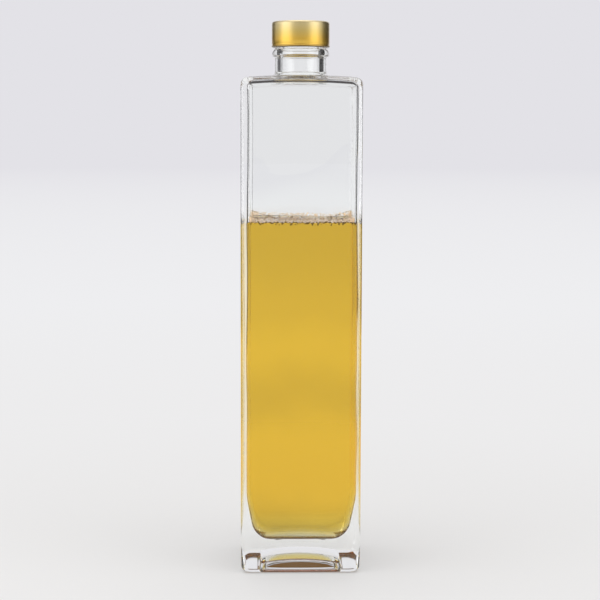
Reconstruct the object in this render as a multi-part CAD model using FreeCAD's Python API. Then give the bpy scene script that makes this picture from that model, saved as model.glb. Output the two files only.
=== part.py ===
"""Square glass liquor bottle with a gold screw cap, two thirds full.

Three separate pieces: the blown glass bottle, the liquor standing in it, and the aluminium
screw cap closed down on the bottle's lip.

Millimetres, +Z up. The origin is the centre of the flat ring that the bottle stands on, and
the front face looks towards -Y.
"""
import FreeCAD, Part
import math
import os

# Driving dimensions: the body
BODY_WIDTH = 57.0            # across the flats, the same both ways
BODY_EDGE_RADIUS = 1.6       # the four upright edges, outside
BODY_FOOT_RADIUS = 3.2       # outside edge round the base
SHOULDER_APEX = 237.2        # top of the arched shoulder, under the neck
SHOULDER_ARCH = 1.2         # fall of the shoulder from the apex to the middle of a side
SHOULDER_RADIUS = 3.0        # outside edge round the shoulder

# The cavity
WALL = 2.5                   # side wall of the upper body
CAVITY_EDGE_RADIUS = 2.6     # the four upright corners, inside
FLOOR_HEIGHT = 14.6          # glass under the liquor, at the edge of the floor
FLOOR_RISE = 1.2             # the floor is pushed up in the middle
FLOOR_CORNER_RADIUS = 8.5    # floor into wall
WALL_TAPER_HEIGHT = 22.0     # the wall thickens over this height above the floor
WALL_TAPER = 3.8             # extra wall at the floor
ROOF_THICKNESS = 2.4         # glass of the shoulder, at the middle of a side
ROOF_CORNER_RADIUS = 2.4     # wall into the underside of the shoulder
BORE_MOUTH_RADIUS = 2.6      # underside of the shoulder into the bore

# The push-up in the base
STANDING_RING = 8.0         # width of the flat ring round it, out to the side of the body
PUNT_CORNER_RADIUS = 4.0
PUNT_HEIGHT = 7.2            # at the middle
PUNT_EDGE_HEIGHT = 5.2       # at the middle of a side, where its domed roof starts
PUNT_DRAFT = 1.6             # lean of its side walls
PUNT_RIM_RADIUS = 0.8        # rounded edge where it meets the standing ring

# The neck and its finish
NECK_RADIUS = 12.45
NECK_WALL = 2.95
NECK_ROOT_RADIUS = 1.4       # neck into shoulder
NECK_HEIGHT = 8.4            # from the shoulder's apex to the underside of the bead
BEAD_DEPTH = 1.2             # the bead stands this far out of the neck
BEAD_HEIGHT = 3.8
BEAD_NOSE_HEIGHT = 1.1       # height of its widest line above its underside
FINISH_STEP = 0.25           # the finish above the bead is this much slimmer than the neck
FINISH_HEIGHT = 11.8         # from the bead to the lip
LIP_RADIUS = 1.0             # rounded outer edge of the lip

# The thread
THREAD_PITCH = 3.6
THREAD_TURNS = 1.35
THREAD_DEPTH = 0.8
THREAD_WIDTH = 1.8           # at its root
THREAD_CREST = 0.7           # at its crest
THREAD_START = 3.0           # middle of its lower end, above the bead

# The cap
CAP_WALL = 0.55              # left outside the groove for the thread
CAP_GAP = 0.6                # between the bead and the skirt
CAP_TOP_THICKNESS = 1.2
CAP_TOP_RADIUS = 1.2
CAP_RIM_RADIUS = 0.4
CAP_RIM_FLARE = 0.15         # the rolled bead stands this far out of the skirt
CAP_RIM_HEIGHT = 1.3         # height of the rolled bead
CAP_CLEARANCE = 0.25         # round the finish and round its thread

# The liquor
LIQUOR_LEVEL = 167.6

# Worked out from the above
HALF_WIDTH = BODY_WIDTH / 2
CAVITY_HALF_WIDTH = HALF_WIDTH - WALL
ROOF_APEX = SHOULDER_APEX - ROOF_THICKNESS
FLOOR_HALF_WIDTH = CAVITY_HALF_WIDTH - WALL_TAPER
PUNT_HALF_WIDTH = HALF_WIDTH - STANDING_RING
BORE_RADIUS = NECK_RADIUS - NECK_WALL
BEAD_RADIUS = NECK_RADIUS + BEAD_DEPTH
FINISH_RADIUS = NECK_RADIUS - FINISH_STEP
CAP_RADIUS = FINISH_RADIUS + THREAD_DEPTH + CAP_CLEARANCE + CAP_WALL
BEAD_BASE = SHOULDER_APEX + NECK_HEIGHT
BEAD_TOP = BEAD_BASE + BEAD_HEIGHT
LIP = BEAD_TOP + FINISH_HEIGHT
CAP_BASE = BEAD_TOP + CAP_GAP
CAP_TOP = LIP + CAP_TOP_THICKNESS
SINK = 0.4                   # depth that one solid runs into the next before they are joined
UP = FreeCAD.Vector(0, 0, 1)


def point(x, z):
    """A point of an outline that is turned round the bottle's axis."""
    return FreeCAD.Vector(x, 0, z)


def arc(start, middle, end):
    return Part.Arc(start, middle, end).toShape()


def line(start, end):
    return Part.LineSegment(start, end).toShape()


def turned(edges):
    """The solid that a closed outline makes when it is turned round the bottle's axis."""
    return Part.Face(Part.Wire(edges)).revolve(FreeCAD.Vector(), UP, 360)


def cylinder(radius, bottom, top):
    return Part.makeCylinder(radius, top - bottom, FreeCAD.Vector(0, 0, bottom))


def dome_radius(half_span, rise):
    """Radius of the sphere that rises by this much over this half span."""
    return (half_span ** 2 + rise ** 2) / (2 * rise)


def ball_under(apex, half_span, rise):
    """A large ball whose top is at apex and which falls by rise at half_span from the axis."""
    radius = dome_radius(half_span, rise)
    return Part.makeSphere(radius, FreeCAD.Vector(0, 0, apex - radius))


def rounded_square(half_width, corner_radius, z):
    """A level outline, square with rounded corners, or sharp ones where the radius is 0."""
    flat = half_width - corner_radius
    diagonal = flat + corner_radius * math.sqrt(0.5)
    edges = []
    for quarter in range(4):
        turn = FreeCAD.Rotation(UP, 90 * quarter)
        side_start = turn.multVec(FreeCAD.Vector(half_width, -flat, z))
        side_end = turn.multVec(FreeCAD.Vector(half_width, flat, z))
        corner_middle = turn.multVec(FreeCAD.Vector(diagonal, diagonal, z))
        corner_end = turn.multVec(FreeCAD.Vector(flat, half_width, z))
        edges.append(line(side_start, side_end))
        if corner_radius > 0:
            edges.append(arc(side_end, corner_middle, corner_end))
    return Part.Wire(edges)


def prism(half_width, corner_radius, bottom, top):
    outline = rounded_square(half_width, corner_radius, bottom)
    return Part.Face(outline).extrude(FreeCAD.Vector(0, 0, top - bottom))


def tapered_prism(lower, upper):
    """Between two outlines, each given as half width, corner radius and height."""
    return Part.makeLoft([rounded_square(*lower), rounded_square(*upper)], True, True)


def edges_at(shape, low, high, reach):
    """The edges wholly between two heights that stay within reach of the axis, both ways."""
    found = []
    for edge in shape.Edges:
        box = edge.BoundBox
        level = low <= box.ZMin and box.ZMax <= high
        near = max(abs(box.XMin), abs(box.XMax), abs(box.YMin), abs(box.YMax)) <= reach
        if level and near:
            found.append(edge)
    return found


def arched_block(half_width, edge_radius, bottom, apex, top_radius):
    """An upright block with rounded upright edges and an arched top, rounded all round."""
    block = prism(half_width, 0, bottom, apex)
    block = block.common(ball_under(apex, HALF_WIDTH, SHOULDER_ARCH))
    rim = edges_at(block, apex - 3 * SHOULDER_ARCH, apex, BODY_WIDTH)
    block = block.makeFillet(top_radius, rim)
    return block.common(prism(half_width, edge_radius, bottom, apex))


def body_outside():
    """The square body, its shoulder arched, before the neck and the cavity."""
    body = arched_block(HALF_WIDTH, BODY_EDGE_RADIUS, 0, SHOULDER_APEX, SHOULDER_RADIUS)
    foot = prism(HALF_WIDTH, 0, 0, SHOULDER_APEX)
    foot = foot.makeFillet(BODY_FOOT_RADIUS, edges_at(foot, -SINK, SINK, BODY_WIDTH))
    return body.common(foot)


def neck_outside():
    """The neck, its bead and the plain finish under the cap, as one turned solid."""
    root = SHOULDER_APEX - SHOULDER_ARCH
    nose = BEAD_BASE + BEAD_NOSE_HEIGHT
    under_bead = point((NECK_RADIUS + BEAD_RADIUS) / 2 + 0.25, BEAD_BASE + 0.2)
    over_bead = point(BEAD_RADIUS - 0.35, (nose + BEAD_TOP) / 2 + 0.2)
    lip_start = LIP - LIP_RADIUS
    lip_shift = LIP_RADIUS * (1 - math.sqrt(0.5))
    outline = [
        line(point(0, root), point(NECK_RADIUS, root)),
        line(point(NECK_RADIUS, root), point(NECK_RADIUS, BEAD_BASE)),
        arc(point(NECK_RADIUS, BEAD_BASE), under_bead, point(BEAD_RADIUS, nose)),
        arc(point(BEAD_RADIUS, nose), over_bead, point(FINISH_RADIUS, BEAD_TOP)),
        line(point(FINISH_RADIUS, BEAD_TOP), point(FINISH_RADIUS, lip_start)),
        arc(point(FINISH_RADIUS, lip_start),
            point(FINISH_RADIUS - lip_shift, LIP - lip_shift),
            point(FINISH_RADIUS - LIP_RADIUS, LIP)),
        line(point(FINISH_RADIUS - LIP_RADIUS, LIP), point(0, LIP)),
        line(point(0, LIP), point(0, root)),
    ]
    return turned(outline)


def thread(start, turns, grow):
    """The helical ridge of the finish, or with grow the larger groove that it runs in."""
    root_radius = FINISH_RADIUS - SINK
    crest_radius = FINISH_RADIUS + THREAD_DEPTH + grow
    root_half = THREAD_WIDTH / 2 + grow
    crest_half = THREAD_CREST / 2 + grow
    spine = Part.makeHelix(THREAD_PITCH, THREAD_PITCH * turns, root_radius)
    spine.translate(FreeCAD.Vector(0, 0, start))
    section = Part.makePolygon([
        point(root_radius, start - root_half), point(crest_radius, start - crest_half),
        point(crest_radius, start + crest_half), point(root_radius, start + root_half),
        point(root_radius, start - root_half)])
    sweep = Part.BRepOffsetAPI.MakePipeShell(Part.Wire(spine.Edges))
    sweep.setFrenetMode(True)
    sweep.add(section)
    sweep.build()
    sweep.makeSolid()
    return sweep.shape()


def cavity():
    """The space inside the glass, from the floor to the lip."""
    taper_top = FLOOR_HEIGHT + WALL_TAPER_HEIGHT
    floor_radius = CAVITY_EDGE_RADIUS + WALL_TAPER
    upper = arched_block(CAVITY_HALF_WIDTH, CAVITY_EDGE_RADIUS, taper_top, ROOF_APEX, ROOF_CORNER_RADIUS)
    lower = tapered_prism((FLOOR_HALF_WIDTH, 0, FLOOR_HEIGHT), (CAVITY_HALF_WIDTH, 0, taper_top))
    lower = lower.makeFillet(FLOOR_CORNER_RADIUS,
                             edges_at(lower, FLOOR_HEIGHT - SINK, FLOOR_HEIGHT + SINK, BODY_WIDTH))
    lower = lower.common(tapered_prism((FLOOR_HALF_WIDTH, floor_radius, FLOOR_HEIGHT),
                                       (CAVITY_HALF_WIDTH, CAVITY_EDGE_RADIUS, taper_top)))
    upper = upper.fuse(cylinder(BORE_RADIUS, ROOF_APEX - SHOULDER_ARCH, LIP)).removeSplitter()
    mouth = edges_at(upper, ROOF_APEX - SHOULDER_ARCH, ROOF_APEX, BORE_RADIUS + SINK)
    upper = upper.makeFillet(BORE_MOUTH_RADIUS, mouth)
    rise = ball_under(FLOOR_HEIGHT + FLOOR_RISE, FLOOR_HALF_WIDTH - FLOOR_CORNER_RADIUS, FLOOR_RISE)
    return upper.fuse(lower).cut(rise)


def punt():
    """The recess pushed up into the base, with leaning walls and a domed roof."""
    recess = tapered_prism((PUNT_HALF_WIDTH, PUNT_CORNER_RADIUS, 0),
                           (PUNT_HALF_WIDTH - PUNT_DRAFT, PUNT_CORNER_RADIUS - PUNT_DRAFT, PUNT_HEIGHT))
    fall = PUNT_HEIGHT - PUNT_EDGE_HEIGHT
    return recess.common(ball_under(PUNT_HEIGHT, PUNT_HALF_WIDTH, fall))


def glass_bottle():
    outside = body_outside().fuse(neck_outside()).removeSplitter()
    root = edges_at(outside, SHOULDER_APEX - SHOULDER_ARCH, SHOULDER_APEX, NECK_RADIUS + SINK)
    outside = outside.makeFillet(NECK_ROOT_RADIUS, root)
    outside = outside.fuse(thread(BEAD_TOP + THREAD_START, THREAD_TURNS, 0))
    based = outside.cut(punt())
    rim = edges_at(based, -SINK, SINK, PUNT_HALF_WIDTH + SINK)
    based = based.makeFillet(PUNT_RIM_RADIUS, rim)
    return based.cut(cavity())


def liquor():
    """The liquor fills the cavity to its level, face to face with the glass."""
    below_level = Part.makeBox(BODY_WIDTH, BODY_WIDTH, LIQUOR_LEVEL,
                               FreeCAD.Vector(-HALF_WIDTH, -HALF_WIDTH, 0))
    return cavity().common(below_level)


def screw_cap():
    """The cap, its underside flat on the lip and its skirt down to just above the bead."""
    outer = cylinder(CAP_RADIUS, CAP_BASE, CAP_TOP)
    outer = outer.makeFillet(CAP_TOP_RADIUS, edges_at(outer, CAP_TOP - SINK, CAP_TOP + SINK, BODY_WIDTH))
    rolled = cylinder(CAP_RADIUS + CAP_RIM_FLARE, CAP_BASE, CAP_BASE + CAP_RIM_HEIGHT)
    rolled = rolled.makeFillet(CAP_RIM_RADIUS, edges_at(rolled, CAP_BASE - SINK, CAP_TOP, BODY_WIDTH))
    cap = outer.fuse(rolled)
    cap = cap.cut(cylinder(FINISH_RADIUS + CAP_CLEARANCE, CAP_BASE - SINK, LIP))
    lowest_groove = CAP_BASE - BEAD_TOP - THREAD_WIDTH
    extra_turns = (THREAD_START - lowest_groove) / THREAD_PITCH
    groove = thread(BEAD_TOP + lowest_groove, THREAD_TURNS + extra_turns, CAP_CLEARANCE)
    groove.rotate(FreeCAD.Vector(), UP, -360 * extra_turns)
    return cap.cut(groove)


def main():
    os.makedirs("parts", exist_ok=True)
    pieces = {"glass_bottle": glass_bottle(), "liquor": liquor(), "screw_cap": screw_cap()}
    for node, shape in pieces.items():
        solid = shape.Solids[0]
        print(f"{node}: solids {len(shape.Solids)}, valid {shape.isValid()}, "
              f"volume {solid.Volume / 1000:.2f} ml, box {solid.BoundBox}")
        solid.exportStep(f"parts/{node}.step")


main()
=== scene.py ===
import math
import random

import bmesh
import bpy
from bpy.props import FloatProperty, FloatVectorProperty, IntProperty, PointerProperty
from mathutils import Matrix, Vector, noise


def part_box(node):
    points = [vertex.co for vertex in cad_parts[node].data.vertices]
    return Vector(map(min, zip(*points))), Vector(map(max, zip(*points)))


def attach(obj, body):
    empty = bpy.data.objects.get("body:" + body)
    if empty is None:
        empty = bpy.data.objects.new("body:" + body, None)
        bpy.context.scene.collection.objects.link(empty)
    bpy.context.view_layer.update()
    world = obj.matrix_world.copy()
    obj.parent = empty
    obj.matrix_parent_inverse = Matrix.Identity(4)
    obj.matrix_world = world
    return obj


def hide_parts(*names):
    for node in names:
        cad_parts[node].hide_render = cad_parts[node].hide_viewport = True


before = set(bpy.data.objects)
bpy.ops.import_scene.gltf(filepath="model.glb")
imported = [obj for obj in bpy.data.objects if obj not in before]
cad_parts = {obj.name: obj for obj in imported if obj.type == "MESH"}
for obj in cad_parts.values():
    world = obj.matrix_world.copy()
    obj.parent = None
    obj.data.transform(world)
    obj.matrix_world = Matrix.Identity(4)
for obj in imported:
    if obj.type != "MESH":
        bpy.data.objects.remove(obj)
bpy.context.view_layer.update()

bl_info = {
    "name": "Square Liquor Bottle",
    "version": (1, 0, 0),
    "blender": (4, 5, 0),
    "location": "View3D > Sidebar > Bottle",
    "description": "A square glass bottle of golden liquor with a satin gold screw cap",
    "category": "Object",
}

MM = 0.001
GLASS_LOW, GLASS_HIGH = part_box("glass_bottle")
LIQUOR_LOW, LIQUOR_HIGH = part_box("liquor")
CAP_LOW, CAP_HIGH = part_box("screw_cap")


def linear(hex_colour):
    """An sRGB hex colour as the linear colour that Blender works in."""
    channels = [int(hex_colour[i:i + 2], 16) / 255 for i in (1, 3, 5)]
    return tuple(c / 12.92 if c <= 0.04045 else ((c + 0.055) / 1.055) ** 2.4 for c in channels)


# ---------------------------------------------------------------------------
# Settings that a user would change


def length_setting(name, description, millimetres):
    """A setting that is a length, given in millimetres."""
    return FloatProperty(name=name, description=description, default=millimetres * MM, unit="LENGTH")


def colour_setting(name, description, hex_colour):
    """A setting that is a colour, given as sRGB hex."""
    return FloatVectorProperty(name=name, description=description, default=linear(hex_colour),
                               subtype="COLOR", size=3, min=0, max=1)


class GlassSettings(bpy.types.PropertyGroup):
    """Sizes and finish of the bottle itself."""
    edge_radius: length_setting("Edge radius", "Outside radius of the upright edges", 1.6)
    foot_radius: length_setting("Foot radius", "Outside radius round the base", 3.2)
    foot_softness: length_setting(
        "Foot softness", "How much rounder the upright edges are at the base", 3.4)
    softness_height: length_setting(
        "Softness height", "Height over which that extra rounding fades", 11.0)
    shoulder_radius: length_setting("Shoulder radius", "Outside radius round the shoulder", 3.0)
    shoulder_apex: length_setting("Shoulder height", "Top of the arched shoulder, under the neck", 237.2)
    shoulder_arch: length_setting(
        "Shoulder arch", "Fall of the shoulder from its apex to the middle of a side", 1.2)
    roof_thickness: length_setting("Roof thickness", "Glass of the shoulder at the middle of a side", 2.4)
    neck_radius: length_setting("Neck radius", "Outside of the neck", 12.45)
    neck_wall: length_setting("Neck wall", "Glass between the neck and its bore", 2.95)
    wall_corner: length_setting("Inner edge radius", "Radius of the cavity's upright edges", 2.6)
    roof_corner: length_setting("Roof corner", "Radius of the cavity under the shoulder", 2.4)
    floor_corner: length_setting("Floor corner", "Radius of the cavity round its floor", 8.5)
    floor_rise: length_setting("Floor rise", "Rise of the cavity's floor to its middle", 1.2)
    wall_taper: length_setting("Wall taper", "How much the wall thickens down to the floor", 3.8)
    taper_height: length_setting(
        "Taper height", "Height above the floor where the wall starts to thicken", 22.0)
    standing_ring: length_setting(
        "Standing ring", "Width of the ring that the bottle stands on, foot round included", 8.0)
    punt_corner: length_setting("Punt corner", "Radius of the push-up's upright edges", 4.0)
    punt_height: length_setting("Punt height", "Height of the push-up at its middle", 7.2)
    punt_edge: length_setting("Punt edge", "Height of the push-up at its wall", 5.2)
    punt_draft: length_setting("Punt draft", "How far the push-up's wall leans in", 1.6)
    cavity_shift: length_setting(
        "Cavity shift", "How far the blown cavity lies off the axis, so that one wall is thinner", 0.42)
    ripple: length_setting("Ripple", "How far the blown inner wall wanders from true", 0.42)
    tint: colour_setting("Tint", "Colour of the glass", "#FEFFFE")
    # Painted light: a cream tint on the glass along its upright edges beside the liquor stands for light
    # the glass carries from the liquor.
    painted_edge_light: colour_setting(
        "Edge tint",
        "Cream light that the glass beside the liquor carries to its upright edges", "#FFF2D2")


class LiquorSettings(bpy.types.PropertyGroup):
    """The drink in the bottle."""
    overlap: length_setting(
        "Reach into the glass", "How far the liquor runs into the wall, so that no gap shows", 0.12)
    climb: length_setting("Meniscus", "Height that the liquor climbs the back wall", 0.45)
    froth_climb: length_setting(
        "Meniscus under froth", "Height that it climbs the front wall, where froth lies on it", 0.0)
    corner_climb: length_setting(
        "Corner meniscus", "Further height that it climbs in the back corners", 0.6)
    bubbles: IntProperty(
        name="Bubbles", description="Number of bubbles in the froth", default=3000, min=0)
    beads: IntProperty(
        name="Beads", description="Number of dark beads along the waterline", default=1300, min=0)
    froth_pile: length_setting("Froth height", "Height that the froth is piled to against the wall", 1.9)
    froth_corner: length_setting(
        "Froth in corners", "Height that the froth is piled to in the corners", 3.0)
    largest_bubble: length_setting("Largest bubble", "Radius of the largest bubble", 0.46)
    smallest_bubble: length_setting("Smallest bubble", "Radius of the smallest bubble", 0.16)
    bead_drop: length_setting(
        "Bead drop", "How far the largest clumps of beads hang under the level", 1.3)
    colour: FloatVectorProperty(
        name="Colour", description="Light left after the depth below", subtype="COLOR", size=3,
        default=(0.914, 0.640, 0.056), min=0, max=1)
    skin: FloatVectorProperty(
        name="Skin colour", description="Colour that even a thin layer has", subtype="COLOR", size=3,
        default=(0.985, 0.88, 0.5), min=0, max=1)
    depth: length_setting("Colour depth", "Depth of liquor that gives the colour", 50.6)


class CapSettings(bpy.types.PropertyGroup):
    """The screw cap."""
    top_radius: length_setting("Top edge", "Rounding of the top edge", 1.2)
    rim_height: length_setting("Rolled rim", "Height of the rolled rim", 1.3)
    rim_flare: length_setting("Rim flare", "How far the rolled rim stands out", 0.15)
    colour: colour_setting("Colour", "Gold of the anodised aluminium", "#DEC46E")
    # Painted light: the top colour is a painted reflection of the overhead light, and the low colour a
    # deeper gold painted toward the rim.
    top_painted_sheen: colour_setting("Top colour", "Gold near the top, where the dye is paler", "#E3D3A0")
    low_colour: colour_setting("Low colour", "Gold toward the rim, where the dye is deeper", "#EABF3E")
    # Painted shade: the rim colour darkens the rolled rim's underside, where shade falls.
    rim_painted_shade: colour_setting("Rim colour", "Dull metal of the rolled rim's underside", "#6E5A34")


class StageSettings(bpy.types.PropertyGroup):
    """Camera, lamps and floor."""
    camera_distance: FloatProperty(
        name="Camera distance", description="From the bottle's axis", default=0.8, unit="LENGTH")
    camera_height: FloatProperty(
        name="Camera height", description="Above the floor", default=0.212, unit="LENGTH")
    camera_turn: FloatProperty(
        name="Camera turn", description="Turn round the bottle from its front",
        default=math.radians(-1.27), unit="ROTATION")
    camera_tilt: FloatProperty(
        name="Camera tilt", description="Downward tilt", default=math.radians(5.96), unit="ROTATION")
    camera_roll: FloatProperty(
        name="Camera roll", description="Turn about the line of sight",
        default=math.radians(0.15), unit="ROTATION")
    lens: FloatProperty(
        name="Lens", description="Focal length on a 36 mm sensor, in mm", default=99.1)
    bounces: IntProperty(
        name="Bounces", description="Turns that light may take inside the thick glass", default=48)
    lamp_power: FloatProperty(
        name="Lamp power", description="Power of a side lamp for each metre of its width, in watts",
        default=2.6, min=0)
    top_power: FloatProperty(
        name="Top lamp power", description="Power of the lamp overhead, in watts", default=3.6, min=0)
    fill: FloatProperty(
        name="Fill", description="Strength of the light from all round", default=0.9, min=0)
    lamp_distance: FloatProperty(
        name="Lamp distance", description="From the bottle to each side lamp", default=1.1, unit="LENGTH")
    flag_distance: FloatProperty(
        name="Flag distance", description="From the bottle to each black board",
        default=0.9, unit="LENGTH")
    floor_width: FloatProperty(
        name="Floor width", description="Side of the square sweep of paper", default=18.0, unit="LENGTH")
    # Painted shadow: a dark gold tone painted on the paper under the bottle, for the bottle's shade and
    # the light through the liquor.
    painted_cast_colour: colour_setting(
        "Golden cast", "Tone that light through the liquor gives the paper below it", "#9A6A12")


# ---------------------------------------------------------------------------
# Nodes and materials


def add_node(tree, kind, inputs=None, **settings):
    """Adds a node, sets its settings, and fills its inputs with values or with links."""
    node = tree.nodes.new(kind)
    for name, value in settings.items():
        setattr(node, name, value)
    for name, value in (inputs or {}).items():
        socket = node.inputs[name]
        if isinstance(value, bpy.types.NodeSocket):
            tree.links.new(value, socket)
        else:
            socket.default_value = value
    return node


def fill_ramp(ramp, stops):
    """Gives a colour ramp its (position, colour) stops."""
    first, *inner, last = stops
    for element, (position, colour) in zip(ramp.elements, (first, last)):
        element.position, element.color = position, rgba(colour)
    for position, colour in inner:
        ramp.elements.new(position).color = rgba(colour)


def mottled(tree, place, blot, first, second):
    """A tone that drifts between two colours, in blots about this wide."""
    blots = add_node(tree, "ShaderNodeTexNoise", {"Vector": place, "Scale": 1 / blot})
    return add_node(tree, "ShaderNodeMix", {
        "Factor": blots.outputs["Fac"], "A": rgba(first), "B": rgba(second)},
        data_type="RGBA").outputs["Result"]


def off_axis(tree, parts, choice):
    """How far a place lies off the axis along X and along Y: the MINIMUM or MAXIMUM of the two."""
    along = [add_node(tree, "ShaderNodeMath", {0: parts[axis]}, operation="ABSOLUTE").outputs["Value"]
             for axis in "XY"]
    return add_node(tree, "ShaderNodeMath", {0: along[0], 1: along[1]}, operation=choice).outputs["Value"]


def new_material(name):
    """An empty node material and its output node."""
    material = bpy.data.materials.new(name)
    material.use_nodes = True
    material.node_tree.nodes.clear()
    output = add_node(material.node_tree, "ShaderNodeOutputMaterial")
    return material, material.node_tree, output


def rgba(colour):
    """A colour with full cover, as a node wants it."""
    return (*colour[:3], 1.0)


def blown_flint_glass(settings):
    """Soda-lime flint glass blown into a mould: clear and smooth, with a slow ripple left by the chilled
    skin. Beside the liquor its upright edges are tinted cream: painted light for the light the glass
    carries from the liquor."""
    material, tree, output = new_material("blown flint glass")
    place = add_node(tree, "ShaderNodeTexCoord").outputs["Object"]
    ripple_width = 9.0 * MM
    ripple = add_node(tree, "ShaderNodeTexNoise", {
        "Vector": place, "Scale": 1 / ripple_width, "Detail": 2.0})
    bump = add_node(tree, "ShaderNodeBump", {
        "Height": ripple.outputs["Fac"], "Strength": 0.2, "Distance": 0.01 * MM})
    parts = add_node(tree, "ShaderNodeSeparateXYZ", {"Vector": place}).outputs
    nearer = off_axis(tree, parts, "MINIMUM")
    # Painted light: the cream edge tint is laid only below the level, above the base and along the upright
    # edges.
    below_level = (parts["Z"], LIQUOR_HIGH.z + 0.3 * MM, LIQUOR_HIGH.z - 0.3 * MM)
    above_base = (parts["Z"], 26 * MM, 46 * MM)
    at_edge = (nearer, LIQUOR_HIGH.x - 1.2 * MM, LIQUOR_HIGH.x + 0.2 * MM)
    painted_light_share = 1.0
    for value, start, end in (below_level, above_base, at_edge):
        share = add_node(tree, "ShaderNodeMapRange", {
            "Value": value, "From Min": start, "From Max": end})
        painted_light_share = add_node(tree, "ShaderNodeMath", {0: painted_light_share, 1: share.outputs["Result"]},
                           operation="MULTIPLY").outputs["Value"]
    tint = add_node(tree, "ShaderNodeMix", {
        "Factor": painted_light_share, "A": rgba(settings.tint), "B": rgba(settings.painted_edge_light)},
        data_type="RGBA").outputs["Result"]
    glass = add_node(tree, "ShaderNodeBsdfPrincipled", {
        "Base Color": tint, "Roughness": 0.0, "IOR": 1.52,
        "Transmission Weight": 1.0, "Normal": bump.outputs["Normal"]})
    tree.links.new(glass.outputs["BSDF"], output.inputs["Surface"])
    return material


def wetted_flint_glass(settings):
    """The same glass where the liquor wets it: liquor and glass bend light almost alike, so the
    wall between them hardly mirrors anything and the liquor keeps its full colour."""
    material = blown_flint_glass(settings)
    material.name = "wetted flint glass"
    for node in material.node_tree.nodes:
        if node.type == "BSDF_PRINCIPLED":
            node.inputs["Specular Tint"].default_value = (0, 0, 0, 1)
    return material


def golden_liquor(settings):
    """An aged spirit: clear, and coloured mostly by its depth, so it pales where it is thin. Its colour
    drifts a little darker and lighter up the bottle, in soft cloudy bands."""
    material, tree, output = new_material("golden liquor")
    density = max(-math.log(c) / settings.depth for c in settings.colour)
    absorbed = [1 + math.log(c) / settings.depth / density for c in settings.colour]
    place = add_node(tree, "ShaderNodeTexCoord").outputs["Object"]
    height = add_node(tree, "ShaderNodeSeparateXYZ", {"Vector": place}).outputs["Z"]
    cloud_width, cloud_drift, band_height = 40 * MM, 30 * MM, 180 * MM
    cloud = add_node(tree, "ShaderNodeTexNoise", {
        "Vector": place, "Scale": 1 / cloud_width, "Detail": 2.0})
    drift = add_node(tree, "ShaderNodeMath", {0: cloud.outputs["Fac"], 1: cloud_drift},
                     operation="MULTIPLY")
    drifted = add_node(tree, "ShaderNodeMath", {0: height, 1: drift.outputs["Value"]}, operation="ADD")
    share = add_node(tree, "ShaderNodeMath", {0: drifted.outputs["Value"], 1: band_height},
                     operation="DIVIDE")
    layers = add_node(tree, "ShaderNodeValToRGB", {"Fac": share.outputs["Value"]})
    layers.color_ramp.interpolation = "EASE"
    fill_ramp(layers.color_ramp, (
        (0.16, linear("#E4E2DC")), (0.28, linear("#FFFEFA")), (0.42, linear("#FFFFFC")),
        (0.54, linear("#EEEFE8")), (0.66, linear("#FDFEFA")), (0.78, linear("#F2F3EE")),
        (0.95, linear("#E9EBE8"))))
    above_floor = add_node(tree, "ShaderNodeMapRange", {
        "Value": height, "From Min": LIQUOR_LOW.z + 2 * MM, "From Max": LIQUOR_LOW.z + 7 * MM})
    tone = add_node(tree, "ShaderNodeMix", {
        "Factor": above_floor.outputs["Result"], "A": layers.outputs["Color"],
        "B": rgba(settings.skin)}, data_type="RGBA", blend_type="MULTIPLY").outputs["Result"]
    liquid = add_node(tree, "ShaderNodeBsdfPrincipled", {
        "Base Color": tone, "Roughness": 0.0, "IOR": 1.42, "Specular Tint": (0, 0, 0, 1),
        "Transmission Weight": 1.0})
    depth = add_node(tree, "ShaderNodeVolumeAbsorption", {"Color": rgba(absorbed), "Density": density})
    tree.links.new(liquid.outputs["BSDF"], output.inputs["Surface"])
    tree.links.new(depth.outputs["Volume"], output.inputs["Volume"])
    return material


def froth_film():
    """Thin films of liquor blown into froth: clear little lenses that look milky together. The
    faint glow stands for the light that real froth passes from bubble to bubble."""
    material, tree, output = new_material("froth film")
    place = add_node(tree, "ShaderNodeTexCoord").outputs["Object"]
    tone = mottled(tree, place, 0.6 * MM, linear("#FFF8E6"), linear("#F6EAE2"))
    film = add_node(tree, "ShaderNodeBsdfPrincipled", {
        "Base Color": tone, "Roughness": 0.1, "IOR": 1.1, "Transmission Weight": 0.95,
        "Emission Color": rgba(linear("#F4DFBC")), "Emission Strength": 0.06})
    tree.links.new(film.outputs["BSDF"], output.inputs["Surface"])
    return material


def painted_waterline_shade():
    """Liquor drawn up in beads along the glass, coloured dark brown as painted shade for the dark line
    that the waterline shows.
    """
    material, tree, output = new_material("painted waterline shade")
    place = add_node(tree, "ShaderNodeTexCoord").outputs["Object"]
    # Painted shade: the beads are coloured dark brown for the dark line along the waterline.
    tone = mottled(tree, place, 0.8 * MM, linear("#9A7410"), linear("#DCB43C"))
    film = add_node(tree, "ShaderNodeBsdfPrincipled", {
        "Base Color": tone, "Roughness": 0.15, "IOR": 1.36, "Transmission Weight": 0.3})
    tree.links.new(film.outputs["BSDF"], output.inputs["Surface"])
    return material


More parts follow.
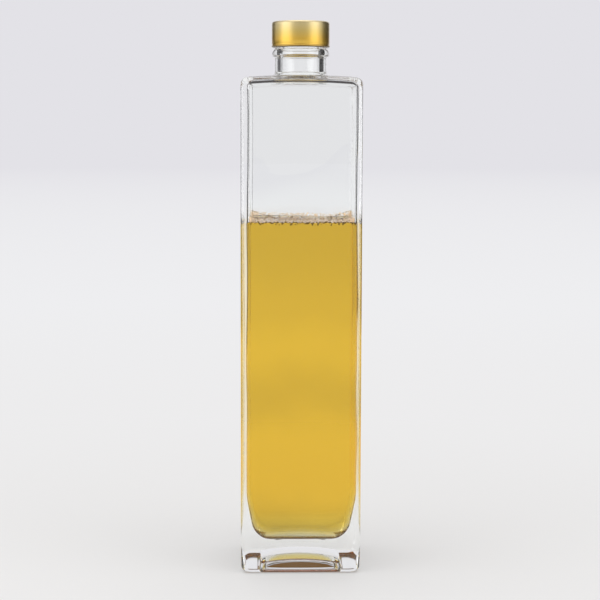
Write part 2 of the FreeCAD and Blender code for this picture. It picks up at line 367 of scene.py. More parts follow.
def satin_gold_anodised_aluminium(settings):
    """Deep-drawn aluminium, satin brushed and dyed gold in the anodic film: a soft metal gloss
    with fine lines running round the cap."""
    material, tree, output = new_material("satin gold anodised aluminium")
    place = add_node(tree, "ShaderNodeTexCoord").outputs["Object"]
    line_height = 0.12 * MM
    line_length = 9.0 * MM
    stretch = add_node(tree, "ShaderNodeMapping", {
        "Vector": place, "Scale": (1 / line_length, 1 / line_length, 1 / line_height)})
    lines = add_node(tree, "ShaderNodeTexNoise", {
        "Vector": stretch.outputs["Vector"], "Scale": 1.0, "Detail": 3.0}).outputs["Fac"]
    height = add_node(tree, "ShaderNodeSeparateXYZ", {"Vector": place}).outputs["Z"]
    share = add_node(tree, "ShaderNodeMapRange", {
        "Value": height, "From Min": CAP_LOW.z, "From Max": CAP_HIGH.z})
    # Painted light and shade: the gold grows paler toward the top as a painted reflection of the overhead
    # light, deeper toward the rim, and dark on the rim's underside as painted shade.
    gold_and_painted_light = add_node(tree, "ShaderNodeValToRGB", {"Fac": share.outputs["Result"]})
    fill_ramp(gold_and_painted_light.color_ramp, (
        (0.02, settings.rim_painted_shade), (0.09, settings.low_colour), (0.32, settings.low_colour),
        (0.6, settings.colour), (0.95, settings.top_painted_sheen)))
    line_tone = (1, 0.95, 0.85, 1)
    shade = add_node(tree, "ShaderNodeMix", {
        "Factor": lines, "A": gold_and_painted_light.outputs["Color"], "B": line_tone},
        data_type="RGBA", blend_type="MULTIPLY").outputs["Result"]
    roughness = add_node(tree, "ShaderNodeMapRange", {"Value": lines, "To Min": 0.3, "To Max": 0.4})
    bump = add_node(tree, "ShaderNodeBump", {
        "Height": lines, "Strength": 0.25, "Distance": 0.01 * MM})
    metal = add_node(tree, "ShaderNodeBsdfPrincipled", {
        "Base Color": shade, "Metallic": 1.0,
        "Roughness": roughness.outputs["Result"], "Normal": bump.outputs["Normal"],
        "Coat Weight": 1.0, "Coat Roughness": 0.3, "Coat IOR": 1.6})
    tree.links.new(metal.outputs["BSDF"], output.inputs["Surface"])
    return material


# ---------------------------------------------------------------------------
# Rings: every wall of the bottle is a loop of vertices pulled from one height to the next

SIDE_STEPS = 12              # faces along the flat part of a side
CORNER_STEPS = 20            # faces round a corner
CORNER_START = math.radians(34)    # bearing off a side's middle where a corner's finer faces start
LEAST_CORNER = 0.6 * MM      # no outer corner is sharper than this


def station_angles():
    """The bearing of each vertex of a ring, closer together round the corners."""
    angles = []
    side_reach = math.tan(CORNER_START)
    for quarter in range(4):
        turn = quarter * math.pi / 2
        for step in range(SIDE_STEPS):
            angles.append(turn + math.atan(side_reach * (2 * step / SIDE_STEPS - 1)))
        corner_span = math.pi / 2 - 2 * CORNER_START
        for step in range(CORNER_STEPS):
            angles.append(turn + CORNER_START + corner_span * step / CORNER_STEPS)
    return angles


ANGLES = station_angles()


def outline_point(angle, half_width, corner_radius):
    """Where a bearing crosses a square with rounded corners. A circle is one all corner."""
    x, y = abs(math.cos(angle)), abs(math.sin(angle))
    flat = max(0.0, half_width - corner_radius)
    if max(x, y) * flat > half_width * min(x, y):
        reach = half_width / max(x, y)
    else:
        along = flat * (x + y)
        reach = along + math.sqrt(max(0.0, along ** 2 - 2 * flat ** 2 + corner_radius ** 2))
    return reach * math.cos(angle), reach * math.sin(angle)


class Ring:
    """One level of a wall: its outline and height, how much it falls away from the axis, how much
    the blown glass wanders there, and how far it lies off the axis."""

    def __init__(self, half_width, corner_radius, height, dome=0.0, wander=0.0, shift=0.0):
        self.half_width = half_width
        self.corner_radius = corner_radius
        self.height = height
        self.dome = dome
        self.wander = wander
        self.shift = shift

    def place(self, angle):
        """Where the wall stands at a bearing."""
        x, y = outline_point(angle, self.half_width, self.corner_radius)
        z = self.height - self.dome * (x * x + y * y)
        if self.wander:
            across = self.wander * blown_wander(x, y, z)
            push = Vector((x, y, 0)).normalized() * across
            x, y = x + push.x, y + push.y
        return Vector((x + self.shift, y, z))


def blown_wander(x, y, z):
    """How far blown glass strays at a place, from about -1 to 1: long slow waves up the wall, with
    quicker ones over them."""
    slow_width, slow_height = 40 * MM, 46 * MM
    quick_width, quick_height = 30 * MM, 22 * MM
    slow = noise.noise(Vector((x / slow_width, y / slow_width, z / slow_height)))
    quick = noise.noise(Vector((x / quick_width + 7, y / quick_width, z / quick_height)))
    return 1.4 * slow + 0.7 * quick


def pull_rings(name, rings):
    """Pulls one loop of edges through all the rings and closes both ends: a watertight wall."""
    mesh = bmesh.new()
    station = mesh.verts.layers.int.new("station")
    first = bmesh.ops.create_circle(mesh, segments=len(ANGLES), radius=rings[0].half_width)["verts"]
    for index, vert in enumerate(first):
        vert[station] = index
        vert.co = rings[0].place(ANGLES[index])
    loop = list(mesh.edges)
    for ring in rings[1:]:
        pulled = bmesh.ops.extrude_edge_only(mesh, edges=loop)["geom"]
        fresh = [g for g in pulled if isinstance(g, bmesh.types.BMVert)]
        for vert in fresh:
            vert.co = ring.place(ANGLES[vert[station]])
        fresh_set = set(fresh)
        loop = [g for g in pulled if isinstance(g, bmesh.types.BMEdge) and set(g.verts) <= fresh_set]
    for ring, verts in ((rings[0], first), (rings[-1], fresh)):
        middle = Vector((0, 0, ring.height))
        lid = bmesh.ops.contextual_create(mesh, geom=list(edges_round(verts)))["faces"]
        centre = bmesh.ops.poke(mesh, faces=lid)["verts"]
        for vert in centre:
            vert.co = middle
    return finish_mesh(name, mesh)


def finish_mesh(name, mesh):
    """Turns a finished mesh into a smooth object at the origin, its faces all looking outward."""
    bmesh.ops.recalc_face_normals(mesh, faces=mesh.faces)
    for face in mesh.faces:
        face.smooth = True
    data = bpy.data.meshes.new(name)
    mesh.to_mesh(data)
    mesh.free()
    piece = bpy.data.objects.new(name, data)
    bpy.context.scene.collection.objects.link(piece)
    return piece


def edges_round(verts):
    """The open edges that run round a loop of vertices."""
    members = set(verts)
    return {e for v in verts for e in v.link_edges if e.is_boundary and set(e.verts) <= members}


def spread(start, end, count):
    """Values from start to end, both included."""
    return [start + (end - start) * step / (count - 1) for step in range(count)]


def quarter_turns(count):
    """Angles of a quarter circle, its ends included."""
    return spread(0, math.pi / 2, count)


# ---------------------------------------------------------------------------
# The bottle


def arch_of(glass):
    """How fast the shoulder falls away from the axis, for the outside and the roof inside."""
    return glass.shoulder_arch / GLASS_HIGH.x ** 2


def punt_rings(glass):
    """From the middle of the push-up, down its wall and out across the standing ring."""
    half = GLASS_HIGH.x - glass.standing_ring
    corner, height, draft = glass.punt_corner, glass.punt_height, glass.punt_draft
    rim, clear_of_ring = 0.8 * MM, 0.2 * MM
    dome = (height - glass.punt_edge) / half ** 2
    roof_half = half - draft
    rings = []
    for share in spread(0.02, 0.97, 12):
        width = roof_half * share
        rings.append(Ring(width, min(width, corner - draft + (1 - share) * width), height, dome))
    for share in spread(0.0, 0.8, 6):
        width = roof_half + draft * share
        rings.append(Ring(width, corner - draft * (1 - share), height * (1 - share), dome * (1 - share)))
    for turn in quarter_turns(6):
        width = half + rim * (1 - math.cos(turn)) - clear_of_ring
        rings.append(Ring(width, corner, rim * (1 - math.sin(turn))))
    return rings


def foot_softening(glass, height):
    """How much rounder the upright edges are at a height: the foot chills first and fills least."""
    return glass.foot_softness * math.exp(-(height / glass.softness_height) ** 2)


def side_rings(glass):
    """The standing ring, the rounded foot, the flat sides and the rounded shoulder edge."""
    half, edge, foot = GLASS_HIGH.x, glass.edge_radius, glass.foot_radius
    arch = arch_of(glass)
    flat_ring = 2 * MM
    rings = [Ring(half - foot - flat_ring, max(LEAST_CORNER, edge + foot_softening(glass, 0) - foot), 0)]
    for turn in quarter_turns(9):
        inset = foot * (1 - math.sin(turn))
        height = foot * (1 - math.cos(turn))
        corner = max(LEAST_CORNER, edge + foot_softening(glass, height) - inset)
        rings.append(Ring(half - inset, corner, height))
    top = glass.shoulder_apex - glass.shoulder_radius
    for share in spread(0.02, 0.98, 48):
        height = foot + (top - foot) * share
        corner = edge + foot_softening(glass, height)
        arched = max(0.0, 8 * share - 7)    # only the top eighth of the side bends with the arch
        rings.append(Ring(half, corner, height, arch * arched))
    for turn in quarter_turns(10):
        inset = glass.shoulder_radius * (1 - math.cos(turn))
        drop = glass.shoulder_radius * (1 - math.sin(turn))
        rings.append(Ring(half - inset, max(LEAST_CORNER, edge - inset), glass.shoulder_apex - drop, arch))
    return rings


def shoulder_rings(glass):
    """Across the arched shoulder from the square body to the round root of the neck."""
    arch = arch_of(glass)
    root = 1.4 * MM
    outer = GLASS_HIGH.x - glass.shoulder_radius
    outer_corner = max(LEAST_CORNER, glass.edge_radius - glass.shoulder_radius)
    inner = glass.neck_radius + root
    rings = []
    for share in spread(0.08, 1.0, 12):
        width = outer + (inner - outer) * share
        corner = outer_corner + (inner - outer_corner) * share ** 1.5
        rings.append(Ring(width, corner, glass.shoulder_apex, arch))
    for turn in quarter_turns(7)[1:]:
        width = glass.neck_radius + root * (1 - math.sin(turn))
        fall = arch * inner ** 2 * math.cos(turn)
        rings.append(Ring(width, width, glass.shoulder_apex + root * (1 - math.cos(turn)) - fall))
    return rings


def neck_rings(glass):
    """The neck, the bead, the finish under the cap and the lip."""
    neck, root = glass.neck_radius, glass.shoulder_apex
    neck_height, bead_height, nose_height = 8.4 * MM, 3.8 * MM, 1.1 * MM
    bead_depth, finish_step, lip = 1.2 * MM, 0.25 * MM, 1.0 * MM
    slight_wander = 0.05 * MM
    bead_base = root + neck_height
    bead_top = bead_base + bead_height
    nose = bead_base + nose_height
    bead, finish = neck + bead_depth, neck - finish_step
    rings = []
    for z in spread(root + 2 * MM, bead_base, 8):
        rings.append(Ring(neck, neck, z, wander=slight_wander))
    for turn in quarter_turns(7)[1:]:
        width = bead - (bead - neck) * (1 - math.sin(turn))
        rings.append(Ring(width, width, nose - (nose - bead_base) * math.cos(turn)))
    for turn in quarter_turns(9)[1:]:
        width = finish + (bead - finish) * math.cos(turn)
        rings.append(Ring(width, width, nose + (bead_top - nose) * math.sin(turn)))
    for z in spread(bead_top, GLASS_HIGH.z - lip, 6)[1:]:
        rings.append(Ring(finish, finish, z))
    for turn in quarter_turns(6)[1:]:
        width = finish - lip * (1 - math.cos(turn))
        rings.append(Ring(width, width, GLASS_HIGH.z - lip * (1 - math.sin(turn))))
    return rings


def bore_rings(glass):
    """Down the bore, round its mouth and out across the underside of the shoulder."""
    bore = glass.neck_radius - glass.neck_wall
    roof = glass.shoulder_apex - glass.roof_thickness
    arch = arch_of(glass)
    mouth, bevel, sharpest = 2.6 * MM, 0.3 * MM, 0.4 * MM
    slight_wander = 0.10 * MM
    rings = [Ring(bore + bevel, bore + bevel, GLASS_HIGH.z), Ring(bore, bore, GLASS_HIGH.z - bevel)]
    for z in spread(GLASS_HIGH.z - 2 * MM, roof + mouth + 0.5 * MM, 12):
        rings.append(Ring(bore, bore, z, wander=slight_wander))
    for turn in quarter_turns(8):
        width = bore + mouth * (1 - math.cos(turn))
        rings.append(Ring(width, width, roof + mouth * (1 - math.sin(turn)), arch * math.sin(turn)))
    half, corner, edge = LIQUOR_HIGH.x, glass.wall_corner, glass.roof_corner
    for share in spread(0.12, 0.92, 8):
        inner, outer = bore + mouth, half - edge
        width = inner + (outer - inner) * share
        roof_corner = inner + (max(sharpest, corner - edge) - inner) * share ** 0.7
        rings.append(Ring(width, roof_corner, roof, arch))
    for turn in quarter_turns(9):
        inset = edge * (1 - math.sin(turn))
        drop = edge * (1 - math.cos(turn))
        rings.append(Ring(half - inset, max(sharpest, corner - inset), roof - drop, arch,
                          glass.ripple * math.sin(turn), glass.cavity_shift * math.sin(turn)))
    return rings


def wall_width(glass, z):
    """Half width and corner radius of the cavity at a height: the wall thickens near the floor."""
    share = min(1.0, max(0.0, 1 - (z - LIQUOR_LOW.z) / glass.taper_height))
    extra = glass.wall_taper * share
    return LIQUOR_HIGH.x - extra, glass.wall_corner + extra


def cavity_rings(glass, top, grow=0.0):
    """Down the cavity's wall from a height to the middle of its floor. Grown, it is the liquor's
    own side, a little way into the glass."""
    floor, corner_drop, rise = LIQUOR_LOW.z, glass.floor_corner, glass.floor_rise
    sharpest, ring_spacing, arch_depth = 1.5 * MM, 4 * MM, 20 * MM
    above_level = LIQUOR_HIGH.z + 10 * MM
    rings = []
    steps = max(8, round((top - floor) / ring_spacing))
    for z in spread(top, floor + corner_drop, steps):
        width, corner = wall_width(glass, z)
        settle = 0.0
        if top > above_level:
            settle = arch_of(glass) * max(0.0, 1 - (top - z) / arch_depth)
        rings.append(Ring(width + grow, corner + grow, z, settle, glass.ripple, glass.cavity_shift))
    for turn in quarter_turns(10)[1:]:
        z = floor + corner_drop * (1 - math.sin(turn))
        width, corner = wall_width(glass, z)
        inset = corner_drop * (1 - math.cos(turn))
        height = z - grow * math.sin(turn)
        rings.append(Ring(width - inset + grow * math.cos(turn), max(sharpest, corner - inset), height,
                          0, glass.ripple * math.cos(turn), glass.cavity_shift * math.cos(turn)))
    flat, flat_corner = width - inset, max(sharpest, corner - inset)
    dome = rise / flat ** 2
    for share in spread(0.93, 0.02, 12):
        reach = flat * share
        rounding = flat_corner + (reach - flat_corner) * (1 - share)
        rings.append(Ring(reach, rounding, floor + rise - grow, dome))
    return rings


def build_bottle(glass):
    """The whole glass as one wall: up its outside, over the lip and down its inside."""
    rings = punt_rings(glass) + side_rings(glass) + shoulder_rings(glass) + neck_rings(glass)
    rings += bore_rings(glass)
    roof_edge = glass.shoulder_apex - glass.roof_thickness - glass.roof_corner
    under_roof = 1.5 * MM
    rings += cavity_rings(glass, roof_edge - under_roof)
    return pull_rings("blown_bottle", rings)


def corner_share(angle):
    """1 in a corner of the bottle, falling softly to 0 along its sides."""
    off_corner = abs((math.degrees(angle) % 90) - 45)
    corner_reach = 9.0
    return math.exp(-(off_corner / corner_reach) ** 1.5)


def meniscus(angle, distance, liquor):
    """Height of the liquor's surface above its level, at a distance in from the wall."""
    backward = 0.5 + 0.5 * math.sin(angle)
    on_side = liquor.froth_climb + (liquor.climb - liquor.froth_climb) * backward
    at_wall = on_side + liquor.corner_climb * backward * corner_share(angle)
    reach = 1.5 * MM
    return at_wall * math.exp(-distance / reach)


def scatter_balls(mesh, balls, material_index):
    """Adds a small ball for every (radius, place), made a few at a time because one big mesh is slow."""
    batch_size = 60
    for start in range(0, len(balls), batch_size):
        batch = bmesh.new()
        for radius, place in balls[start:start + batch_size]:
            bmesh.ops.create_icosphere(batch, subdivisions=1, radius=radius,
                                       matrix=Matrix.Translation(place))
        for face in batch.faces:
            face.material_index = material_index
        data = bpy.data.meshes.new("batch")
        batch.to_mesh(data)
        batch.free()
        mesh.from_mesh(data)
        bpy.data.meshes.remove(data)


def froth_bubbles(liquor, width, chance):
    """Bubbles as (radius, angle, inset, height): most lie against the wall, more so in the corners."""
    level = LIQUOR_HIGH.z
    band = 1.4 * MM
    pile_reach = 2.5 * MM
    size_range = liquor.largest_bubble - liquor.smallest_bubble
    for _ in range(liquor.bubbles):
        radius = liquor.smallest_bubble + size_range * chance.random() ** 2.2
        angle = chance.uniform(0, 2 * math.pi)
        if chance.random() < 0.3:
            angle = math.radians(45 + 90 * chance.randrange(4) + chance.gauss(0, 6))
        on_surface = chance.random() < 0.15
        inset = radius + (width if on_surface else band) * 0.9 * chance.random()
        surface = level + meniscus(angle, inset, liquor)
        highest = liquor.froth_pile + (liquor.froth_corner - liquor.froth_pile) * corner_share(angle)
        pile = highest * chance.random() * math.exp(-inset / pile_reach)
        yield radius, angle, inset, surface + 0.4 * radius + pile


def surface_beads(liquor, width, chance):
    """Dark beads as (radius, angle, inset, height), strewn over the surface."""
    for _ in range(liquor.beads // 4):
        radius = 0.1 * MM + 0.25 * MM * chance.random() ** 2
        angle, inset = chance.uniform(0, 2 * math.pi), width * 0.95 * chance.random() ** 1.5
        yield radius, angle, inset, LIQUOR_HIGH.z + meniscus(angle, inset, liquor) + 0.1 * MM


def waterline_beads(liquor, chance):
    """Dark beads along the wall: they hang in clumps at the front and climb the corners behind."""
    most_rise = 0.5 * MM
    for _ in range(liquor.beads):
        radius = 0.13 * MM + 0.27 * MM * chance.random() ** 1.5
        angle = chance.uniform(0, 2 * math.pi)
        height = LIQUOR_HIGH.z + 0.1 * MM
        if math.sin(angle) > 0:
            radius *= 0.75
            height += liquor.froth_corner * corner_share(angle)
        else:
            clump = 0.5 + 0.5 * math.sin(83 * angle + 3 * math.sin(19 * angle))
            height -= liquor.bead_drop * clump * chance.random() ** 1.3
            height += most_rise * (1 - clump) * chance.random()
        yield radius, angle, 0.6 * radius, height


def build_froth(glass, liquor):
    """Froth on the liquor, piled up along the wall, over a line of beads where they meet, darkened with
    painted shade.
    """
    chance = random.Random(11)
    width, corner = wall_width(glass, LIQUOR_HIGH.z)

    def spot(radius, angle, inset, height):
        """A ball's radius and its place, at an inset from the wandering wall."""
        ring = Ring(width - inset, max(0.3 * MM, corner - inset), LIQUOR_HIGH.z, 0,
                    glass.ripple, glass.cavity_shift)
        place = ring.place(angle)
        place.z = height
        return radius, place

    bubbles = [spot(*bubble) for bubble in froth_bubbles(liquor, width, chance)]
    beads = [spot(*bead) for bead in surface_beads(liquor, width, chance)]
    beads += [spot(*bead) for bead in waterline_beads(liquor, chance)]
    mesh = bmesh.new()
    scatter_balls(mesh, bubbles, 0)
    scatter_balls(mesh, beads, 1)
    return finish_mesh("froth_bubbles", mesh)


def build_liquor(glass, liquor):
    """The liquor: the cavity's own floor and wall up to the level, closed by its surface, whose
    rings lie close together near the wall where the meniscus bends."""
    level = LIQUOR_HIGH.z
    under_meniscus = 1 * MM
    side = list(reversed(cavity_rings(glass, level - under_meniscus, liquor.overlap)))
    width, corner = wall_width(glass, level)
    top = []
    for inset in (0, 0.12, 0.3, 0.6, 1.0, 1.5, 2.1, 2.9, 4.0, 5.5, 8.0, 11.0, 15.0, 20.0, 24.6):
        inset = inset * MM
        ring = MeniscusRing(width + liquor.overlap - inset, max(1.0 * MM, corner - 0.5 * inset), level,
                            liquor, inset)
        ring.wander = glass.ripple
        ring.shift = glass.cavity_shift
        top.append(ring)
    return pull_rings("liquor_fill", side + top)


class MeniscusRing(Ring):
    """A ring of the liquor's surface, which climbs the wall and more so in the corners."""

    def __init__(self, half_width, corner_radius, height, liquor, inset):
        super().__init__(half_width, min(half_width, corner_radius), height)
        self.liquor = liquor
        self.inset = inset

    def place(self, angle):
        """Where the surface stands at a bearing, lifted by the meniscus."""
        spot = super().place(angle)
        spot.z += meniscus(angle, self.inset, self.liquor)
        return spot


# ---------------------------------------------------------------------------
# The cap


def spin_profile(name, profile, steps=128):
    """Turns a closed profile of (radius, height) points into a solid about the axis."""
    mesh = bmesh.new()
    verts = [mesh.verts.new((radius, 0, height)) for radius, height in profile]
    edges = [mesh.edges.new(pair) for pair in zip(verts, verts[1:])]
    bmesh.ops.spin(mesh, geom=verts + edges, cent=(0, 0, 0), axis=(0, 0, 1), angle=2 * math.pi,
                   steps=steps, use_merge=True)
    bmesh.ops.remove_doubles(mesh, verts=mesh.verts, dist=0.001 * MM)
    return finish_mesh(name, mesh)


def arc_points(centre, radius, start, end, count):
    """Points of an arc in the profile's plane, by angles in degrees."""
    turns = [math.radians(degrees) for degrees in spread(start, end, count)]
    return [(centre[0] + radius * math.cos(turn), centre[1] + radius * math.sin(turn)) for turn in turns]


def build_cap(glass, cap):
    """A drawn cup with a rolled rim, its skirt thick enough to reach the neck."""
    outer = CAP_HIGH.x - cap.rim_flare
    inner = glass.neck_radius
    top, base = CAP_HIGH.z, CAP_LOW.z
    edge = cap.top_radius
    profile = [(0, top)]
    profile += [(outer * share, top) for share in (0.3, 0.6, 0.85)]
    profile += arc_points((outer - edge, top - edge), edge, 90, 0, 9)
    under_edge, over_rim = 0.5 * MM, 0.45 * MM
    lead_in, lead_up = 0.6 * MM, 0.5 * MM
    skirt = spread(top - edge - under_edge, base + cap.rim_height + over_rim, 6)
    profile += [(outer, z) for z in skirt]
    bead = cap.rim_height / 2
    profile += arc_points((outer + cap.rim_flare - bead, base + bead), bead, 62, -90, 12)
    profile += [(inner + lead_in, base), (inner, base + lead_up)]
    profile += [(inner, GLASS_HIGH.z), (0, GLASS_HIGH.z)]
    return spin_profile("gold_cap", profile)


# ---------------------------------------------------------------------------
# The stage

FLOOR_GAP = 0.1 * MM         # the paper lies this far under the bottle, so that no faces meet

# Black boards as (name, bearing off the front, width, bottom, top): they edge the glass with dark.
# Low on the left one stands nearer the front, and above it one farther back clears the cap.
FLAGS = (
    ("left flag", math.radians(-122.5), 0.96, 0, 0.24),
    ("left high flag", math.radians(-139), 0.5, 0.245, 0.95),
    ("right flag", math.radians(122.5), 0.96, 0, 0.95),
)

# Side lamps as (name, bearing off the front, width): they lay the two bright bands on the cap.
LAMPS = (
    ("left lamp", math.radians(-61), 0.95),
    ("right lamp", math.radians(55), 0.75),
)
LAMP_HEIGHT = 0.45
LAMP_AIM = 0.2               # height on the bottle that the side lamps look at
LAMP_TALL = 0.9
TOP_LAMP_PLACE = (0, 0.1, 1.4)
TOP_LAMP_WIDTH = 1.2


def aim(obj, place, target):
    """Puts a lamp at a place and turns it to a target."""
    obj.location = place
    obj.rotation_euler = (Vector(target) - Vector(place)).to_track_quat("-Z", "Y").to_euler()


def add_lamp(name, place, target, width, height, power):
    """A flat rectangular lamp that the camera doesn't see."""
    data = bpy.data.lights.new(name, "AREA")
    data.shape = "RECTANGLE"
    data.size, data.size_y = width, height
    data.energy = power
    lamp = bpy.data.objects.new(name, data)
    bpy.context.scene.collection.objects.link(lamp)
    aim(lamp, place, target)
    lamp.visible_camera = False
    return lamp


def upright(bearing, distance, height):
    """The place and turn of an upright board that faces the bottle from a bearing off its front."""
    turn = Matrix.Rotation(bearing, 4, "Z") @ Matrix.Translation((0, -distance, height))
    return turn @ Matrix.Rotation(math.pi / 2, 4, "X")


def paper_floor(settings):
    """A pale paper sweep: dull and lit evenly into the distance. Under the bottle it has a golden painted
    shadow, standing for the bottle's shade and the light that comes down through the liquor."""
    material, tree, output = new_material("pale paper sweep")
    place = add_node(tree, "ShaderNodeTexCoord").outputs["Object"]
    distance = add_node(tree, "ShaderNodeVectorMath", {0: place}, operation="LENGTH").outputs["Value"]
    tone = mottled(tree, place, 0.8 * MM, linear("#E9E8E7"), linear("#EDECEB"))
    parts = add_node(tree, "ShaderNodeSeparateXYZ", {"Vector": place}).outputs
    # Painted shadow: the paper under the bottle turns toward the dark gold cast colour, for the bottle's
    # shade and the light through the liquor.
    cast_edge, cast_core = 28 * MM, 21 * MM
    under = add_node(tree, "ShaderNodeMapRange", {
        "Value": off_axis(tree, parts, "MAXIMUM"), "From Min": cast_edge, "From Max": cast_core},
        interpolation_type="SMOOTHSTEP")
    white = (1, 1, 1, 1)
    cast = add_node(tree, "ShaderNodeMix", {
        "Factor": under.outputs["Result"], "A": white, "B": rgba(settings.painted_cast_colour)},
        data_type="RGBA").outputs["Result"]
    far_edge = 8.0
    share = add_node(tree, "ShaderNodeMath", {0: distance, 1: far_edge}, operation="DIVIDE")
    sweep = add_node(tree, "ShaderNodeValToRGB", {"Fac": share.outputs["Value"]})
    fill_ramp(sweep.color_ramp, (
        (0.0, linear("#ECEBEB")), (0.15, linear("#EEEEF0")), (1.0, linear("#E3E2E7"))))
    under_cast = [add_node(tree, "ShaderNodeMix", {"Factor": 1.0, "A": colour, "B": cast},
                           data_type="RGBA", blend_type="MULTIPLY").outputs["Result"]
                  for colour in (tone, sweep.outputs["Color"])]
    paper = add_node(tree, "ShaderNodeBsdfPrincipled", {
        "Base Color": under_cast[0], "Roughness": 0.9, "Specular IOR Level": 0.2}).outputs["BSDF"]
    glow = add_node(tree, "ShaderNodeEmission", {"Color": under_cast[1]}).outputs["Emission"]
    fade = add_node(tree, "ShaderNodeMapRange", {
        "Value": distance, "From Min": 0.05, "From Max": 0.4, "To Min": 0.45},
        interpolation_type="SMOOTHSTEP")
    mix = add_node(tree, "ShaderNodeMixShader", {"Fac": fade.outputs["Result"], 1: paper, 2: glow})
    tree.links.new(mix.outputs["Shader"], output.inputs["Surface"])
    return material


def black_card():
    """Black foam board, which gives the glass its thin dark edges."""
    material, tree, output = new_material("black foam board")
    place = add_node(tree, "ShaderNodeTexCoord").outputs["Object"]
    tone = mottled(tree, place, 2 * MM, (0.02, 0.02, 0.02), (0.03, 0.03, 0.03))
    board = add_node(tree, "ShaderNodeBsdfPrincipled", {"Base Color": tone, "Roughness": 0.9})
    tree.links.new(board.outputs["BSDF"], output.inputs["Surface"])
    return material


def stage_plane(name, material, matrix, width, height):
    """A flat board on the stage, with its middle and its turn given by a matrix."""
    mesh = bmesh.new()
    bmesh.ops.create_grid(mesh, x_segments=1, y_segments=1, size=0.5)
    bmesh.ops.scale(mesh, vec=(width, height, 1), verts=mesh.verts)
    bmesh.ops.transform(mesh, matrix=matrix, verts=mesh.verts)
    data = bpy.data.meshes.new(name)
    mesh.to_mesh(data)
    mesh.free()
    plane = bpy.data.objects.new(name, data)
    plane.data.materials.append(material)
    bpy.context.scene.collection.objects.link(plane)
    return plane


def build_world(strength):
    """Light from all round. The eye, and what the glass mirrors and bends, meet a pale backdrop
    instead: greyer where the cap and glass mirror the studio behind the camera, and dark where
    the glass bends the eye's line up to the ceiling."""
    world = bpy.data.worlds.new("studio")
    bpy.context.scene.world = world
    world.use_nodes = True
    tree = world.node_tree
    tree.nodes.clear()
    rays = add_node(tree, "ShaderNodeLightPath").outputs
    mirrored, bent = rays["Is Glossy Ray"], rays["Is Transmission Ray"]
    seen = rays["Is Camera Ray"]
    for ray in (mirrored, bent):
        seen = add_node(tree, "ShaderNodeMath", {0: seen, 1: ray}, operation="MAXIMUM").outputs["Value"]
    fill = add_node(tree, "ShaderNodeBackground", {"Color": (1, 1, 1, 1), "Strength": strength})
    direction = add_node(tree, "ShaderNodeTexCoord").outputs["Generated"]
    parts = add_node(tree, "ShaderNodeSeparateXYZ", {"Vector": direction}).outputs
    shares = []
    for ray, part, start, end in ((mirrored, "Y", -0.3, -0.95), (bent, "Z", 0.42, 0.8)):
        turned = add_node(tree, "ShaderNodeMapRange", {
            "Value": parts[part], "From Min": start, "From Max": end},
            interpolation_type="SMOOTHSTEP")
        shares.append(add_node(tree, "ShaderNodeMath", {0: turned.outputs["Result"], 1: ray},
                               operation="MULTIPLY").outputs["Value"])
    behind_camera, ceiling = shares
    tone = rgba(linear("#E3E2E7"))
    for share, colour in ((behind_camera, "#B8B6B4"), (bent, "#E6E5E9"), (ceiling, "#4A484A")):
        tone = add_node(tree, "ShaderNodeMix", {"Factor": share, "A": tone, "B": rgba(linear(colour))},
                        data_type="RGBA").outputs["Result"]
    wall = add_node(tree, "ShaderNodeBackground", {"Color": tone, "Strength": 1.0})
    mix = add_node(tree, "ShaderNodeMixShader", {
        "Fac": seen, 1: fill.outputs["Background"], 2: wall.outputs["Background"]})
    output = add_node(tree, "ShaderNodeOutputWorld")
    tree.links.new(mix.outputs["Shader"], output.inputs["Surface"])


def build_camera(settings):
    """The camera, low in front of the bottle and looking slightly down at it."""
    data = bpy.data.cameras.new("camera")
    data.sensor_width = 36
    data.lens = settings.lens
    camera = bpy.data.objects.new("camera", data)
    bpy.context.scene.collection.objects.link(camera)
    turn = settings.camera_turn
    camera.location = (math.sin(turn) * settings.camera_distance,
                       -math.cos(turn) * settings.camera_distance, settings.camera_height)
    look = Matrix.Rotation(turn, 4, "Z") @ Matrix.Rotation(math.pi / 2 - settings.camera_tilt, 4, "X")
    camera.rotation_euler = (look @ Matrix.Rotation(settings.camera_roll, 4, "Z")).to_euler()
    bpy.context.scene.camera = camera


# ---------------------------------------------------------------------------
# Operators


def finish_piece(piece, material, slot, *nodes):
    """Gives a piece its material, lets it ride on the bottle and stand for its CAD nodes."""
    piece.data.materials.append(material)
    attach(piece, "root")
    if nodes:
        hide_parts(*nodes)


class BOTTLE_OT_glass(bpy.types.Operator):
    """Blow the square glass bottle"""
    bl_idname = "bottle.glass"
    bl_label = "Glass Bottle"

    def execute(self, context):
        glass = context.scene.bottle_glass
        piece = build_bottle(glass)
        finish_piece(piece, blown_flint_glass(glass), "clear_glass", "glass_bottle")
        piece.data.materials.append(wetted_flint_glass(glass))
        wall_reach = LIQUOR_HIGH.x + 0.8 * MM
        floor_reach = LIQUOR_LOW.z - 0.5 * MM
        for face in piece.data.polygons:
            x, y, z = face.center
            inside = max(abs(x), abs(y)) < wall_reach
            if inside and floor_reach < z < LIQUOR_HIGH.z:
                face.material_index = 1
        return {"FINISHED"}


class BOTTLE_OT_liquor(bpy.types.Operator):
    """Fill the bottle to its level"""
    bl_idname = "bottle.liquor"
    bl_label = "Liquor"

    def execute(self, context):
        liquor = context.scene.bottle_liquor
        piece = build_liquor(context.scene.bottle_glass, liquor)
        finish_piece(piece, golden_liquor(liquor), "golden_liquor", "liquor")
        return {"FINISHED"}


class BOTTLE_OT_froth(bpy.types.Operator):
    """Lay a ring of froth on the liquor"""
    bl_idname = "bottle.froth"
    bl_label = "Froth"

    def execute(self, context):
        piece = build_froth(context.scene.bottle_glass, context.scene.bottle_liquor)
        finish_piece(piece, froth_film(), "golden_liquor")
        piece.data.materials.append(painted_waterline_shade())
        return {"FINISHED"}


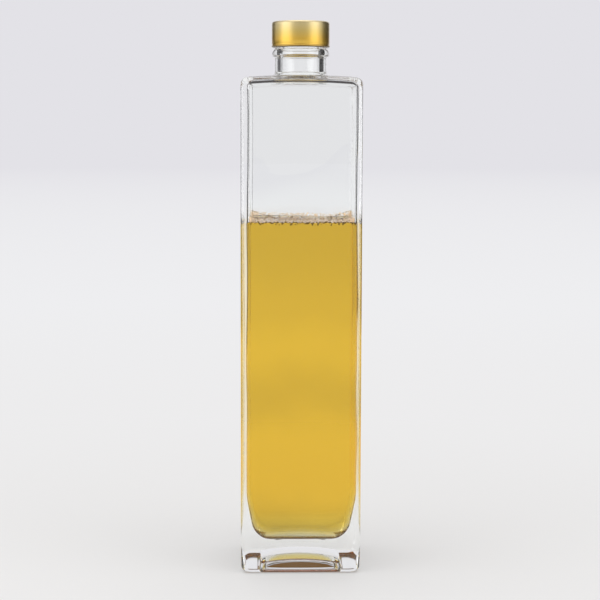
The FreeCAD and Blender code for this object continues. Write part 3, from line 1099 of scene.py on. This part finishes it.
class BOTTLE_OT_cap(bpy.types.Operator):
    """Close the bottle with its gold cap"""
    bl_idname = "bottle.cap"
    bl_label = "Screw Cap"

    def execute(self, context):
        cap = context.scene.bottle_cap
        piece = build_cap(context.scene.bottle_glass, cap)
        finish_piece(piece, satin_gold_anodised_aluminium(cap), "gold_aluminium", "screw_cap")
        return {"FINISHED"}


class BOTTLE_OT_stage(bpy.types.Operator):
    """Lay the floor, hang the lamps and set the camera"""
    bl_idname = "bottle.stage"
    bl_label = "Stage"

    def execute(self, context):
        settings = context.scene.bottle_stage
        under_bottle = Matrix.Translation((0, 0, -FLOOR_GAP))
        width = settings.floor_width
        stage_plane("floor", paper_floor(settings), under_bottle, width, width)
        card = black_card()
        for name, bearing, width, bottom, top in FLAGS:
            flag = upright(bearing, settings.flag_distance, (bottom + top) / 2)
            board = stage_plane(name, card, flag, width, top - bottom)
            board.visible_camera = False
        for name, bearing, width in LAMPS:
            place = (math.sin(bearing) * settings.lamp_distance,
                     -math.cos(bearing) * settings.lamp_distance, LAMP_HEIGHT)
            add_lamp(name, place, (0, 0, LAMP_AIM), width, LAMP_TALL, settings.lamp_power * width)
        top_lamp = add_lamp("top lamp", TOP_LAMP_PLACE, (0, 0, 0), TOP_LAMP_WIDTH, TOP_LAMP_WIDTH,
                            settings.top_power)
        top_lamp.visible_transmission = False
        build_world(settings.fill)
        build_camera(settings)
        context.scene.cycles.max_bounces = settings.bounces
        context.scene.cycles.transmission_bounces = settings.bounces
        context.scene.cycles.glossy_bounces = settings.bounces
        context.scene.view_settings.view_transform = "Standard"
        return {"FINISHED"}


class BOTTLE_PT_panel(bpy.types.Panel):
    """Builds the bottle piece by piece"""
    bl_label = "Liquor Bottle"
    bl_idname = "BOTTLE_PT_panel"
    bl_space_type = "VIEW_3D"
    bl_region_type = "UI"
    bl_category = "Bottle"

    def draw(self, context):
        for operator in OPERATORS:
            self.layout.operator(operator.bl_idname)


SETTINGS = {"bottle_glass": GlassSettings, "bottle_liquor": LiquorSettings, "bottle_cap": CapSettings,
            "bottle_stage": StageSettings}
OPERATORS = (BOTTLE_OT_glass, BOTTLE_OT_liquor, BOTTLE_OT_froth, BOTTLE_OT_cap, BOTTLE_OT_stage)
CLASSES = (*SETTINGS.values(), *OPERATORS, BOTTLE_PT_panel)


def register():
    """Makes the settings, the operators and the panel known to Blender."""
    for cls in CLASSES:
        bpy.utils.register_class(cls)
    for name, group in SETTINGS.items():
        setattr(bpy.types.Scene, name, PointerProperty(type=group))


def unregister():
    """Takes them out again, in the other order."""
    for name in SETTINGS:
        delattr(bpy.types.Scene, name)
    for cls in reversed(CLASSES):
        bpy.utils.unregister_class(cls)


def main():
    """Builds every piece and the stage."""
    register()
    bpy.ops.bottle.glass()
    bpy.ops.bottle.liquor()
    bpy.ops.bottle.froth()
    bpy.ops.bottle.cap()
    bpy.ops.bottle.stage()


if __name__ == "__main__":
    main()
